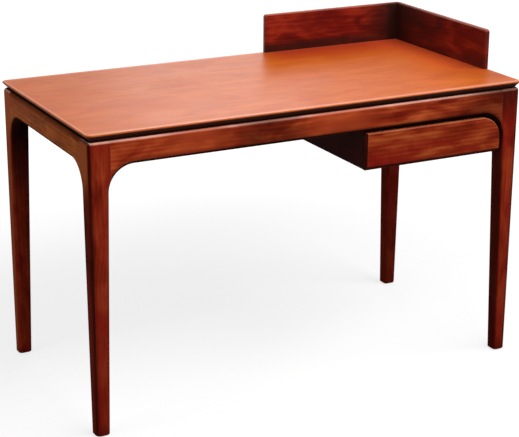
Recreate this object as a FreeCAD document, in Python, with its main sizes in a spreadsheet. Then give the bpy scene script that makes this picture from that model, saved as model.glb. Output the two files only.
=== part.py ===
import FreeCAD, Part
import math
import os
import re

import Sketcher

# Study table in lacquered wood: a thin top on an arched four-legged frame, an L-shaped upstand round the
# rear right corner of the top, and one drawer hung under its right half.
# Millimetres, +X along the length to the right, +Y to the back, +Z up, origin on the floor under the centre.

SIZES = {
    # Whole table
    "table_length": 1200,
    "table_depth": 600,
    "table_height": 750,
    # Tabletop
    "top_thickness": 18,
    "top_corner_radius": 16,
    "top_arris": 2,
    "top_bevel": 14,
    # Legs, measured at the springing of the arches and at the floor
    "frame_inset": 3,
    "leg_width": 50,
    "leg_foot_width": 36,
    "leg_ear": 4,
    "leg_outer_radius": 13,
    "foot_bevel": 2,
    # Aprons and arches
    "apron_height": 62,
    "apron_thickness": 22,
    "arch_radius": 64,
    "arch_arris_radius": 10,
    "frame_top_radius": 8,
    "tenon_thickness": 10,
    "tenon_setback": 6,
    "tenon_length": 24,
    "tenon_height": 70,
    "tenon_shoulder": 12,
    "mortise_relief": 1,
    # Cross rail under the left half of the top
    "bearer_offset": 220,
    "bearer_thickness": 22,
    "bearer_height": 40,
    "bearer_tongue_thickness": 10,
    "bearer_tongue_height": 22,
    "bearer_tongue_length": 10,
    # Glides under the feet
    "glide_diameter": 22,
    "glide_thickness": 5,
    "glide_projection": 2,
    # Upstand round the rear right corner
    "gallery_height": 106,
    "gallery_thickness": 14,
    "gallery_back_length": 442,
    "gallery_side_length": 450,
    "gallery_arris": 3,
    "gallery_end_radius": 8,
    "dowel_diameter": 8,
    "dowel_length": 30,
    "dowel_seat": 12,
    "dowel_end_distance": 60,
    # Hung drawer case
    "case_left_distance": 460,
    "case_rear_distance": 105,
    "cheek_thickness": 15,
    "cheek_arris_radius": 2,
    "case_right_gap": 7,
    "case_back_thickness": 12,
    "case_back_rise": 20,
    "case_back_housing": 5,
    "case_back_gap": 25,
    "cleat_size": 20,
    "cleat_setback": 16,
    # Drawer front
    "drawer_reveal": 7,
    "drawer_front_height": 97,
    "drawer_front_thickness": 20,
    "drawer_front_round": 16,
    "drawer_front_corner_radius": 18,
    "drawer_front_arris_radius": 3,
    "drawer_stop_gap": 2,
    # Drawer box
    "box_rise": 19,
    "box_top_drop": 7,
    "box_board_thickness": 12,
    "box_housing": 4,
    "box_bottom_thickness": 5,
    "box_bottom_rise": 10,
    "box_bottom_groove": 5,
    "bumper_diameter": 8,
    "bumper_rise": 30,
    # Telescopic slides
    "slide_thickness": 12.7,
    "slide_height": 45,
    "slide_setback": 4,
    "slide_rise": 55,
    "slide_steel": 1.2,
    "slide_clearance": 0.3,
    "slide_ball_height": 3.2,
    "cage_steel": 0.7,
    "cage_length": 190,
    "slide_lip": 3.7,
    "cage_lip": 4.7,
    # Steel clips under the top
    "clip_width": 20,
    "clip_steel": 2,
    "clip_tongue": 7,
    "clip_tab": 22,
    "clip_drop": 10,
    "clip_groove_depth": 8,
    # Screws and fits
    "screw_diameter": 4,
    "screw_head_diameter": 8,
    "screw_head_height": 2.5,
    "screw_bite": 11,
    "fit_clearance": 0.2,
    "overrun": 5,
}

# Places along a row, as shares of the length that the row follows.
CLIP_LONG_SHARES = (-0.36, -0.04, 0.28)
CLIP_SHORT_SHARES = (-0.16, 0.16)
CLEAT_TOP_SHARES = (0.10, 0.50, 0.90)
CLEAT_SIDE_SHARES = (0.22, 0.78)
GALLERY_DOWEL_SHARES = (0.0, 0.5, 1.0)
FRONT_SCREW_ACROSS_SHARES = (0.12, 0.88)
FRONT_SCREW_UP_SHARES = (0.36, 0.80)

# Heights and lengths that several pieces share.
FRAME_TOP = "(table_height - top_thickness)"
APRON_BOTTOM = f"({FRAME_TOP} - apron_height)"
SPRING = f"({APRON_BOTTOM} - arch_radius)"
FRAME_X = "(table_length / 2 - frame_inset)"
FRAME_Y = "(table_depth / 2 - frame_inset)"
LEG_HEAD = "(leg_width + leg_ear)"
TAPER = f"((leg_width - leg_foot_width) / {SPRING})"
TAPER_STRETCH = f"sqrt(1 + {TAPER}^2)"
ARCH_X = f"(leg_width + arch_radius * {TAPER_STRETCH})"
ARCH_RUN = f"({ARCH_X} - {LEG_HEAD})"
ARCH_FOOT_X = f"({ARCH_X} - arch_radius / {TAPER_STRETCH})"
ARCH_FOOT_Z = f"({SPRING} + arch_radius * {TAPER} / {TAPER_STRETCH})"
ARCH_TIP_Z = f"({SPRING} + sqrt(arch_radius^2 - {ARCH_RUN}^2))"
LEG_TOP_WIDTH = f"(leg_foot_width + {TAPER} * {FRAME_TOP})"
APRON_BACK = f"({FRAME_Y} - apron_thickness)"
LONG_RAIL = f"(2 * {FRAME_X} - 2 * {LEG_HEAD})"
SHORT_RAIL = f"(2 * {FRAME_Y} - 2 * {LEG_HEAD})"
TENON_LOW = f"({FRAME_TOP} - tenon_shoulder - tenon_height)"
CLIP_LOW = f"({FRAME_TOP} - clip_drop - clip_steel)"
GLIDE_IN = "(leg_foot_width / 2)"
TOP_RIGHT = "(table_length / 2)"
TOP_REAR = "(table_depth / 2)"
GALLERY_START = f"({TOP_RIGHT} - gallery_back_length)"
GALLERY_FRONT = f"({TOP_REAR} - gallery_side_length)"

DRAWER_LEFT = "(table_length / 2 - case_left_distance)"
DRAWER_RIGHT = f"({FRAME_X} - {ARCH_X} + arch_radius - drawer_reveal)"
DRAWER_WIDTH = f"({DRAWER_RIGHT} - {DRAWER_LEFT})"
DRAWER_TOP = f"({APRON_BOTTOM} - drawer_reveal)"
DRAWER_BOTTOM = f"({DRAWER_TOP} - drawer_front_height)"
CASE_LEFT = f"({DRAWER_LEFT} + cheek_thickness)"
CASE_RIGHT = f"({DRAWER_RIGHT} - case_right_gap - cheek_thickness)"
CASE_FRONT = f"(-{APRON_BACK})"
CASE_REAR = f"({APRON_BACK} - case_rear_distance)"
CHEEK_LENGTH = f"({CASE_REAR} - {CASE_FRONT})"
CLEAT_LENGTH = f"({CHEEK_LENGTH} - case_back_thickness - 2 * cleat_setback)"
BOX_LEFT = f"({CASE_LEFT} + slide_thickness)"
BOX_WIDTH = f"({CASE_RIGHT} - {CASE_LEFT} - 2 * slide_thickness)"
BOX_INNER = f"({BOX_WIDTH} - 2 * box_board_thickness)"
BOX_FRONT = f"(drawer_front_thickness - {FRAME_Y})"
BOX_DEPTH = f"({CASE_REAR} - case_back_thickness - case_back_gap - {BOX_FRONT})"
BOX_BASE = f"({DRAWER_BOTTOM} + box_rise)"
BOX_HEIGHT = "(drawer_front_height - box_rise - box_top_drop)"
SLIDE_FRONT = f"({CASE_FRONT} + slide_setback)"
SLIDE_LENGTH = f"({BOX_DEPTH} - drawer_stop_gap - 2 * slide_setback)"
SLIDE_AXIS = f"({DRAWER_BOTTOM} + slide_rise)"

UP = FreeCAD.Vector(0, 0, 1)
RIGHT = FreeCAD.Vector(1, 0, 0)
BACK = FreeCAD.Vector(0, 1, 0)
# The way a rod points: the axis it is turned about, the turn, and the side where a screw's head lies.
AIMS = {
    "up": (UP, 0, (0, 0, -1)),
    "left": (BACK, -90, (1, 0, 0)),
    "right": (BACK, 90, (-1, 0, 0)),
    "front": (RIGHT, 90, (0, 1, 0)),
}
# Screws, pegs, soft dots and glides repeat and are hidden, so they and their holes have a few flat sides.
SMALL_SIDES = 8
GLIDE_SIDES = 16
BEVEL = {"kind": "PartDesign::Chamfer", "size_name": "Size"}
PICK_TOLERANCE = 0.001
WORD = re.compile(r"[a-z][a-z_]*[a-z]")

doc = FreeCAD.newDocument("StudyTable")
sheet = doc.addObject("Spreadsheet::Sheet", "Sizes")
for row, (alias, size) in enumerate(SIZES.items(), start=1):
    sheet.set(f"A{row}", alias)
    sheet.set(f"B{row}", str(size))
    sheet.setAlias(f"B{row}", alias)
doc.recompute()

subparts = {}
top_holes = []


def linked(text):
    """Point every size that an expression names at its cell."""
    return WORD.sub(lambda word: f"Sizes.{word[0]}" if word[0] in SIZES else word[0], text)


def number(text):
    """The present value of an expression."""
    return float(sheet.evalExpression(linked(text)))


def bind(thing, **sizes):
    """Bind properties of a document object to expressions of the sheet's sizes."""
    for name, text in sizes.items():
        thing.setExpression(name, linked(text))
    return thing


def place(thing, x="0", y="0", z="0", turn=0, about=UP):
    """Put a document object at a bound place, turned by whole right angles where it needs it."""
    thing.Placement = FreeCAD.Placement(FreeCAD.Vector(), FreeCAD.Rotation(about, turn))
    for axis, text in zip("xyz", (x, y, z)):
        thing.setExpression(f"Placement.Base.{axis}", linked(text))
    return thing


def keep(thing, label):
    """Name a finished sub-part."""
    thing.Label = label
    subparts[label] = thing
    return thing


def box(name, corner, spans):
    """A block with its low corner and its three spans bound."""
    block = doc.addObject("Part::Box", name)
    bind(block, Length=spans[0], Width=spans[1], Height=spans[2])
    return place(block, *corner)


def rod(name, foot, radius, length, about=UP, turn=0, sides=SMALL_SIDES):
    """A rod that stands on its foot point, or lies along X or Y when turned."""
    prism = doc.addObject("Part::Prism", name)
    prism.Polygon = sides
    bind(prism, Circumradius=radius, Height=length)
    return place(prism, *foot, turn=turn, about=about)


def union(name, pieces):
    fused = doc.addObject("Part::MultiFuse", name)
    fused.Shapes = pieces
    fused.Refine = True
    return fused


def group(name, pieces):
    """Separate solids that share one node."""
    together = doc.addObject("Part::Compound", name)
    together.Links = pieces
    return together


def cut(name, base, tool):
    result = doc.addObject("Part::Cut", name)
    result.Base = base
    result.Tool = tool
    result.Refine = True
    return result


def plane(body, role):
    return next(feature for feature in body.Origin.OriginFeatures if feature.Role == role)


def arc_between(start, end, radius, turn):
    """The shorter arc from start to end: turn 1 runs anticlockwise, turn -1 clockwise."""
    chord = end - start
    reach = math.sqrt(radius ** 2 - chord.Length ** 2 / 4)
    aside = FreeCAD.Vector(-chord.y, chord.x, 0).normalize() * reach * turn
    centre = (start + end) / 2 + aside
    first, last = (start, end) if turn > 0 else (end, start)
    angles = [math.atan2(spot.y - centre.y, spot.x - centre.x) for spot in (first, last)]
    return Part.ArcOfCircle(Part.Circle(centre, UP, radius), *angles)


def outline(body, name, role, corners, lift="0"):
    """A closed sketch through bound corners. A corner with a radius and a turn is reached by an arc."""
    drawing = body.newObject("Sketcher::SketchObject", name)
    drawing.AttachmentSupport = [(plane(body, role), "")]
    drawing.MapMode = "FlatFace"
    drawing.setExpression("AttachmentOffset.Base.z", linked(lift))
    spots = [FreeCAD.Vector(number(corner[0]), number(corner[1]), 0) for corner in corners]
    ends = []
    for index, corner in enumerate(corners):
        start, end = spots[index - 1], spots[index]
        turn = corner[3] if len(corner) > 2 else 0
        edge = arc_between(start, end, number(corner[2]), turn) if turn else Part.LineSegment(start, end)
        drawing.addGeometry(edge)
        ends.append((2, 1) if turn < 0 else (1, 2))
    for index, corner in enumerate(corners):
        following = (index + 1) % len(corners)
        last = ends[index][1]
        drawing.addConstraint(Sketcher.Constraint("Coincident", index, last, following, ends[following][0]))
        for kind, text, axis in (("DistanceX", corner[0], -2), ("DistanceY", corner[1], -1)):
            if text == "0":
                drawing.addConstraint(Sketcher.Constraint("PointOnObject", index, last, axis))
                continue
            rule = Sketcher.Constraint(kind, -1, 1, index, last, number(text))
            drawing.setExpression(f"Constraints[{drawing.addConstraint(rule)}]", linked(text))
        if len(corner) > 2:
            rule = Sketcher.Constraint("Radius", index, number(corner[2]))
            drawing.setExpression(f"Constraints[{drawing.addConstraint(rule)}]", linked(corner[2]))
    return drawing


def pad(body, drawing, length, backwards=False):
    feature = body.newObject("PartDesign::Pad", drawing.Name + "_pad")
    feature.Profile = drawing
    feature.Reversed = backwards
    bind(feature, Length=length)
    doc.recompute()
    return feature


def pocket(body, drawing, length, backwards=False):
    """Cut a sketch into the body, and make sure that it took something away."""
    before = body.Shape.Volume
    feature = body.newObject("PartDesign::Pocket", drawing.Name + "_pocket")
    feature.Profile = drawing
    feature.Reversed = backwards
    bind(feature, Length=length)
    doc.recompute()
    if not body.Shape.Volume < before:
        raise ValueError(f"{drawing.Name} cuts nothing")
    return feature


def at(span, **levels):
    """True where a bounding box is flat at the given levels."""
    for axis, level in levels.items():
        ends = (getattr(span, axis.upper() + "Min"), getattr(span, axis.upper() + "Max"))
        if any(abs(end - level) > PICK_TOLERANCE for end in ends):
            return False
    return True


def runs(span, axes):
    """True where a bounding box has length along each of the axes."""
    return all(getattr(span, axis + "Length") > PICK_TOLERANCE for axis in axes)


def ease(body, size, wanted, kind="PartDesign::Fillet", size_name="Radius"):
    """Round, or bevel, the edges of a body whose bounding boxes pass a test."""
    feature = body.Tip
    spans = [edge.BoundBox for edge in feature.Shape.Edges]
    names = [f"Edge{count}" for count, span in enumerate(spans, start=1) if wanted(span)]
    if not names:
        raise ValueError(f"{body.Name} has no edge to ease")
    eased = body.newObject(kind, f"{body.Name}_ease_{len(body.Group)}")
    eased.Base = (feature, names)
    bind(eased, **{size_name: size})
    doc.recompute()
    return eased


def rectangle(wide, high):
    return [("0", "0"), (wide, "0"), (wide, high), ("0", high)]


# Legs
def leg_post(label):
    """A post with upright outer faces and tapered inner ones. Two ears start the arches of the aprons."""
    body = doc.addObject("PartDesign::Body", label + "_post")
    sole = "glide_projection"
    toe = (f"(leg_foot_width + {TAPER} * {sole})", sole)
    spring = (ARCH_FOOT_X, ARCH_FOOT_Z)
    ear = (LEG_HEAD, ARCH_TIP_Z, "arch_radius", -1)
    crown = (LEG_TOP_WIDTH, FRAME_TOP)
    heel = ("0", sole)
    top_corner = ("0", FRAME_TOP)
    corners = [heel, toe, spring, ear, (LEG_HEAD, FRAME_TOP), top_corner]
    eared = outline(body, label + "_eared", "XZ_Plane", corners)
    pad(body, eared, "apron_thickness", backwards=True)
    plain = outline(body, label + "_plain", "XZ_Plane", [heel, toe, crown, top_corner], "-apron_thickness")
    pad(body, plain, f"{LEG_HEAD} - apron_thickness", backwards=True)
    beyond = f"({LEG_HEAD} + overrun)"
    above = f"({FRAME_TOP} + overrun)"
    below = f"({sole} - overrun)"
    start = [(beyond, below), (toe[0], below), toe]
    corners = [*start, spring, ear, (beyond, ARCH_TIP_Z)]
    eared_waste = outline(body, label + "_eared_waste", "YZ_Plane", corners)
    pocket(body, eared_waste, "apron_thickness", backwards=True)
    corners = [*start, crown, (LEG_TOP_WIDTH, above), (beyond, above)]
    plain_waste = outline(body, label + "_plain_waste", "YZ_Plane", corners, "apron_thickness")
    pocket(body, plain_waste, LEG_HEAD, backwards=True)
    top = number(FRAME_TOP)
    ease(body, "leg_outer_radius", lambda span: at(span, x=0, y=0))
    ease(body, "arch_arris_radius", lambda span: (at(span, y=0) and runs(span, "XZ"))
         or (at(span, x=0) and runs(span, "YZ")) or runs(span, "XYZ"))
    ease(body, "frame_top_radius", lambda span: at(span, z=top) and (
        at(span, x=0) or at(span, y=0) or span.XMin + span.YMin < PICK_TOLERANCE))
    ease(body, "foot_bevel", lambda span: at(span, z=number(sole)), **BEVEL)
    return body


def leg(label, x, y, turn):
    """A leg with a mortise for each of its two aprons and a recess for its glide."""
    inset = "tenon_setback"
    depth = "(tenon_length + mortise_relief)"
    mouth = f"({LEG_HEAD} - {depth})"
    reach = f"({depth} + overrun)"
    thick, tall = "tenon_thickness", "tenon_height"
    recess_radius = "glide_diameter / 2 + fit_clearance"
    recess_foot = (GLIDE_IN, GLIDE_IN, "0")
    cuts = [
        box(label + "_front_mortise", (mouth, inset, TENON_LOW), (reach, thick, tall)),
        box(label + "_side_mortise", (inset, mouth, TENON_LOW), (thick, reach, tall)),
        rod(label + "_recess", recess_foot, recess_radius, "glide_thickness", sides=GLIDE_SIDES),
    ]
    finished = cut(label, leg_post(label), union(label + "_cuts", cuts))
    return keep(place(finished, x, y, turn=turn), label)


leg("front_left_leg", f"-{FRAME_X}", f"-{FRAME_Y}", 0)
leg("front_right_leg", FRAME_X, f"-{FRAME_Y}", 90)
leg("rear_right_leg", FRAME_X, FRAME_Y, 180)
leg("rear_left_leg", f"-{FRAME_X}", FRAME_Y, 270)


# Glides under the feet
def glides():
    discs = []
    for side, x in (("left", f"{GLIDE_IN} - {FRAME_X}"), ("right", f"{FRAME_X} - {GLIDE_IN}")):
        for end, y in (("front", f"{GLIDE_IN} - {FRAME_Y}"), ("rear", f"{FRAME_Y} - {GLIDE_IN}")):
            disc = rod(f"glide_{end}_{side}", (x, y, "0"), "glide_diameter / 2", "glide_thickness",
                       sides=GLIDE_SIDES)
            discs.append(disc)
    keep(group("glide_set", discs), "foot_glides")


glides()


# Aprons
def apron(label, length, x, y, turn):
    """A rail that comes down to the legs in quarter-round arches, with a tenon at each end."""
    body = doc.addObject("PartDesign::Body", label + "_rail")
    corners = [
        ("0", ARCH_TIP_Z),
        (ARCH_RUN, APRON_BOTTOM, "arch_radius", -1),
        (f"{length} - {ARCH_RUN}", APRON_BOTTOM),
        (length, ARCH_TIP_Z, "arch_radius", -1),
        (length, FRAME_TOP),
        ("0", FRAME_TOP),
    ]
    pad(body, outline(body, label + "_face", "XZ_Plane", corners), "apron_thickness", backwards=True)
    top = number(FRAME_TOP)
    ease(body, "arch_arris_radius", lambda span: at(span, y=0)
         and runs(span, "X") and not at(span, z=top))
    ease(body, "frame_top_radius", lambda span: at(span, y=0, z=top))
    stub = ("tenon_length", "tenon_thickness", "tenon_height")
    tenons = [
        box(label + "_near_tenon", ("-tenon_length", "tenon_setback", TENON_LOW), stub),
        box(label + "_far_tenon", (length, "tenon_setback", TENON_LOW), stub),
    ]
    groove = box(label + "_clip_groove", ("0", "apron_thickness - clip_groove_depth", CLIP_LOW),
                 (length, "clip_groove_depth + overrun", "clip_steel + fit_clearance"))
    rail = union(label + "_tenoned", [body, *tenons])
    return place(cut(label, rail, groove), x, y, turn=turn)


keep(apron("left_apron", SHORT_RAIL, f"-{FRAME_X}", f"{SHORT_RAIL} / 2", 270), "left_apron")
keep(apron("right_apron", SHORT_RAIL, FRAME_X, f"-{SHORT_RAIL} / 2", 90), "right_apron")
front_rail = apron("front_rail", LONG_RAIL, f"-{LONG_RAIL} / 2", f"-{FRAME_Y}", 0)
rear_rail = apron("rear_rail", LONG_RAIL, f"{LONG_RAIL} / 2", FRAME_Y, 180)


# Cross rail, tongued into the front and rear aprons
def bearer():
    tongue_reach = f"({APRON_BACK} + bearer_tongue_length)"
    tongue_low = f"({FRAME_TOP} - bearer_height / 2 - bearer_tongue_height / 2)"
    tongue_corner = ("-bearer_offset - bearer_tongue_thickness / 2", f"-{tongue_reach}", tongue_low)
    tongue_spans = ("bearer_tongue_thickness", f"2 * {tongue_reach}", "bearer_tongue_height")
    tongue = box("bearer_tongue", tongue_corner, tongue_spans)
    stock_low = f"{FRAME_TOP} - bearer_height"
    stock_corner = ("-bearer_offset - bearer_thickness / 2", f"-{APRON_BACK}", stock_low)
    stock = box("bearer_stock", stock_corner, ("bearer_thickness", f"2 * {APRON_BACK}", "bearer_height"))
    keep(union("bearer", [stock, tongue]), "centre_bearer")
    keep(cut("front_apron", front_rail, tongue), "front_apron")
    keep(cut("rear_apron", rear_rail, tongue), "rear_apron")


bearer()


# Screws
def screw(name, seat, length, aim="up"):
    """A screw with its head on the seat point, and the slightly wider hole for its shank."""
    about, turn, head_side = AIMS[aim]
    head_foot = [f"{text} + {side} * screw_head_height" for text, side in zip(seat, head_side)]
    shank = rod(name + "_shank", seat, "screw_diameter / 2", length, about, turn)
    head = rod(name + "_head", head_foot, "screw_head_diameter / 2", "screw_head_height", about, turn)
    bore_radius = "screw_diameter / 2 + fit_clearance"
    hole = rod(name + "_hole", seat, bore_radius, f"{length} + fit_clearance", about, turn)
    return union(name, [shank, head]), hole


# Steel clips: a tongue in the apron's groove, a riser, and a tab screwed up into the top
def clip(name, spot, turn):
    edge = "-clip_width / 2"
    tab_low = f"{FRAME_TOP} - clip_steel"
    bends = [
        box(name + "_tongue", (edge, "-clip_tongue", CLIP_LOW), ("clip_width", "clip_tongue", "clip_steel")),
        box(name + "_riser", (edge, "0", CLIP_LOW), ("clip_width", "clip_steel", "clip_drop + clip_steel")),
        box(name + "_tab", (edge, "0", tab_low), ("clip_width", "clip_tab", "clip_steel")),
    ]
    seat = ("0", "clip_tab / 2 + clip_steel", tab_low)
    fixing, hole = screw(name + "_screw", seat, "clip_steel + screw_bite")
    strap = cut(name, union(name + "_strap", bends), hole)
    bore = group(name + "_bore", [hole])
    return [place(thing, *spot, turn=turn) for thing in (strap, fixing, bore)]


def clips():
    right_face = f"({FRAME_X} - apron_thickness)"
    made = []
    for count, share in enumerate(CLIP_LONG_SHARES):
        along = f"{share} * table_length"
        made.append(clip(f"front_clip_{count}", (along, f"-{APRON_BACK}"), 0))
        made.append(clip(f"rear_clip_{count}", (along, APRON_BACK), 180))
    for count, share in enumerate(CLIP_SHORT_SHARES):
        along = f"{share} * table_depth"
        made.append(clip(f"left_clip_{count}", (f"-{right_face}", along), 270))
        made.append(clip(f"right_clip_{count}", (right_face, along), 90))
    straps, fixings, bores = zip(*made)
    keep(group("clip_set", list(straps)), "tabletop_clips")
    keep(group("clip_screw_set", list(fixings)), "tabletop_clip_screws")
    top_holes.extend(bores)


clips()


# Hung case: two cheeks, a back between them, and a cleat along the top of each cheek
def case_back():
    low = f"({DRAWER_BOTTOM} + case_back_rise)"
    corner = (f"{CASE_LEFT} - case_back_housing", f"{CASE_REAR} - case_back_thickness", low)
    wide = f"{CASE_RIGHT} - {CASE_LEFT} + 2 * case_back_housing"
    board = box("case_back", corner, (wide, "case_back_thickness", f"{FRAME_TOP} - {low}"))
    return keep(board, "case_back_panel")


def cheek_board(side, x):
    body = doc.addObject("PartDesign::Body", f"{side}_cheek_board")
    corners = rectangle(CHEEK_LENGTH, f"({FRAME_TOP} - {DRAWER_BOTTOM})")
    pad(body, outline(body, f"{side}_cheek_face", "YZ_Plane", corners), "cheek_thickness")
    ease(body, "cheek_arris_radius", lambda span: at(span, z=0) and runs(span, "Y"))
    return place(body, x, CASE_FRONT, DRAWER_BOTTOM)


def case_side(side, cheek_x, cleat_x, seat_x, back):
    """A cheek with its cleat. The cleat is screwed up into the top and sideways into the cheek."""
    y = f"({CASE_FRONT} + cleat_setback)"
    z = f"({FRAME_TOP} - cleat_size)"
    length = "cleat_size + screw_bite"
    upright = []
    level = []
    for count, share in enumerate(CLEAT_TOP_SHARES):
        seat = (f"{cleat_x} + cleat_size / 2", f"{y} + {share} * {CLEAT_LENGTH}", z)
        upright.append(screw(f"{side}_top_screw_{count}", seat, length))
    for count, share in enumerate(CLEAT_SIDE_SHARES):
        seat = (seat_x, f"{y} + {share} * {CLEAT_LENGTH}", f"{z} + cleat_size / 2")
        level.append(screw(f"{side}_side_screw_{count}", seat, length, aim=side))
    top_bores = [hole for fixing, hole in upright]
    side_bores = [hole for fixing, hole in level]
    top_holes.extend(top_bores)
    stick = box(f"{side}_cleat_stick", (cleat_x, y, z), ("cleat_size", CLEAT_LENGTH, "cleat_size"))
    cleat_bores = union(f"{side}_cleat_bores", top_bores + side_bores)
    keep(cut(f"{side}_cleat", stick, cleat_bores), f"case_{side}_cleat")
    housing = union(f"{side}_cheek_cuts", [back, *side_bores])
    keep(cut(f"{side}_cheek", cheek_board(side, cheek_x), housing), f"case_{side}_cheek")
    return [fixing for fixing, hole in upright], [fixing for fixing, hole in level]


def case():
    back = case_back()
    right_cleat = f"({CASE_RIGHT} - cleat_size)"
    left_top, left_side = case_side("left", DRAWER_LEFT, CASE_LEFT, f"{CASE_LEFT} + cleat_size", back)
    right_top, right_side = case_side("right", CASE_RIGHT, right_cleat, right_cleat, back)
    keep(group("cleat_top_screw_set", left_top + right_top), "cleat_top_screws")
    keep(group("cleat_side_screw_set", left_side + right_side), "cleat_side_screws")


case()


# Upstand: one L-shaped wall, cut on the mitre at the rear right corner and pegged to the top
def gallery_wall():
    body = doc.addObject("PartDesign::Body", "gallery_wall")
    inner_x = f"({TOP_RIGHT} - gallery_thickness)"
    inner_y = f"({TOP_REAR} - gallery_thickness)"
    corners = [
        (GALLERY_START, inner_y),
        (inner_x, inner_y),
        (inner_x, GALLERY_FRONT),
        (TOP_RIGHT, GALLERY_FRONT),
        (TOP_RIGHT, TOP_REAR),
        (GALLERY_START, TOP_REAR),
    ]
    pad(body, outline(body, "gallery_plan", "XY_Plane", corners), "gallery_height")
    start, front = number(GALLERY_START), number(GALLERY_FRONT)
    right, rear = number(TOP_RIGHT), number(TOP_REAR)
    tall = number("gallery_height")
    ease(body, "top_corner_radius", lambda span: at(span, x=right, y=rear))
    ease(body, "gallery_end_radius", lambda span: at(span, x=start, z=tall) or at(span, y=front, z=tall))
    ease(body, "gallery_arris", lambda span: at(span, z=tall), **BEVEL)
    return place(body, z="table_height")


def gallery_spots():
    """Places of the pegs, in a row along the middle of each panel."""
    back_span = "(gallery_back_length - 2 * dowel_end_distance)"
    side_span = "(gallery_side_length - 2 * dowel_end_distance)"
    back_first = f"({GALLERY_START} + dowel_end_distance)"
    side_first = f"({GALLERY_FRONT} + dowel_end_distance)"
    back_middle = f"{TOP_REAR} - gallery_thickness / 2"
    side_middle = f"{TOP_RIGHT} - gallery_thickness / 2"
    spots = []
    for share in GALLERY_DOWEL_SHARES:
        spots.append((f"{back_first} + {share} * {back_span}", back_middle))
        spots.append((side_middle, f"{side_first} + {share} * {side_span}"))
    return spots


def gallery():
    pegs = []
    bores = []
    low = "(table_height - dowel_seat)"
    for count, (x, y) in enumerate(gallery_spots()):
        pegs.append(rod(f"dowel_{count}", (x, y, low), "dowel_diameter / 2", "dowel_length"))
        wider = "dowel_diameter / 2 + fit_clearance"
        longer = "dowel_length + 2 * fit_clearance"
        bores.append(rod(f"dowel_bore_{count}", (x, y, f"{low} - fit_clearance"), wider, longer))
    top_holes.extend(bores)
    keep(group("dowel_set", pegs), "gallery_dowels")
    drilled = cut("gallery_drilled", gallery_wall(), union("gallery_bores", bores))
    for label, turn, way in (("gallery_back_panel", 45, -1), ("gallery_side_panel", 225, 1)):
        half = doc.addObject("Part::Box", label + "_half")
        bind(half, Length="2 * table_length", Width="2 * table_length", Height="2 * table_height")
        shift = f"{way} * table_length * sqrt(1 / 2)"
        place(half, f"{TOP_RIGHT} + {shift}", f"{TOP_REAR} + {shift}", turn=turn)
        panel = doc.addObject("Part::Common", label)
        panel.Base = drilled
        panel.Tool = half
        panel.Refine = True
        keep(panel, label)


gallery()


# Tabletop: a board with rounded corners, a small bevel above and a wide one below
def tabletop():
    body = doc.addObject("PartDesign::Body", "top_board")
    left, front = f"-{TOP_RIGHT}", f"-{TOP_REAR}"
    corners = [(left, front), (TOP_RIGHT, front), (TOP_RIGHT, TOP_REAR), (left, TOP_REAR)]
    pad(body, outline(body, "top_plan", "XY_Plane", corners), "top_thickness")
    upper = number("top_thickness")
    ease(body, "top_corner_radius", lambda span: runs(span, "Z"))
    ease(body, "top_bevel", lambda span: at(span, z=0), **BEVEL)
    ease(body, "top_arris", lambda span: at(span, z=upper), **BEVEL)
    place(body, z=FRAME_TOP)
    keep(cut("top", body, group("top_bores", top_holes)), "tabletop")


tabletop()


# Drawer front: flush in the arched opening, its upper right corner concentric with the arch
def drawer_front():
    body = doc.addObject("PartDesign::Body", "drawer_front_board")
    face = outline(body, "drawer_front_face", "XZ_Plane", rectangle(DRAWER_WIDTH, "drawer_front_height"))
    pad(body, face, "drawer_front_thickness", backwards=True)
    right, top = number(DRAWER_WIDTH), number("drawer_front_height")
    ease(body, "arch_radius - drawer_reveal", lambda span: at(span, x=right, z=top))
    ease(body, "drawer_front_corner_radius", lambda span: at(span, x=right, z=0))
    ease(body, "drawer_front_arris_radius", lambda span: at(span, y=0) and not at(span, x=0))
    turn = "drawer_front_round"
    below = "-overrun"
    waste = [(below, below), (turn, below), (turn, "0"), ("0", turn, turn, -1), (below, turn)]
    under = outline(body, "drawer_front_under", "YZ_Plane", waste, below)
    pocket(body, under, f"{DRAWER_WIDTH} + 2 * overrun", backwards=True)
    return place(body, DRAWER_LEFT, f"-{FRAME_Y}", DRAWER_BOTTOM)


# Drawer box: two sides, an inner front, a back and a bottom let into grooves
def front_screws(inside):
    made = []
    length = "box_board_thickness + screw_bite"
    for column, across_share in enumerate(FRONT_SCREW_ACROSS_SHARES):
        for level, up_share in enumerate(FRONT_SCREW_UP_SHARES):
            x = f"{inside} + {across_share} * {BOX_INNER}"
            seat = (x, f"{BOX_FRONT} + box_board_thickness", f"{BOX_BASE} + {up_share} * {BOX_HEIGHT}")
            made.append(screw(f"front_screw_{column}{level}", seat, length, aim="front"))
    return zip(*made)


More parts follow.
